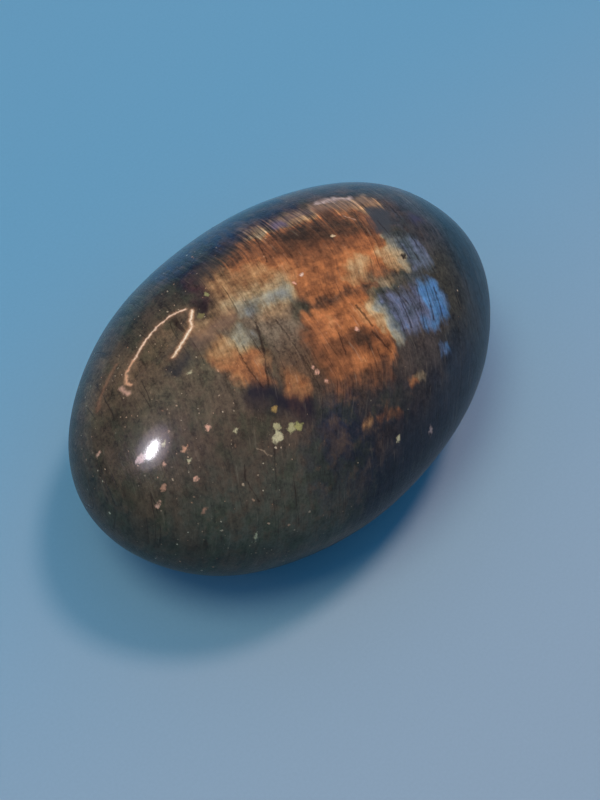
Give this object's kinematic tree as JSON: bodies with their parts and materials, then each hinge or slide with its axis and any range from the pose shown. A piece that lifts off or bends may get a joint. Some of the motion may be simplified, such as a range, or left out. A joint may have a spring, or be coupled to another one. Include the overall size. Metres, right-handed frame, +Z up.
{
  "type": "polished labradorite palm stone",
  "caption": "Egg-shaped polished labradorite palm stone, dark olive with copper, gold and blue flashes, to hold or display on a small flat.",
  "frame": {"origin": "on the floor, below the middle of the stone's bounding box", "axes": "+X along the long axis towards the slimmer end, +Y across the width, +Z up"},
  "size_m": [0.0742, 0.0514, 0.038],
  "materials": {
    "labradorite": "polished"
  },
  "bodies": {
    "root": {"labradorite": "labradorite"}
  },
  "joints": []
}
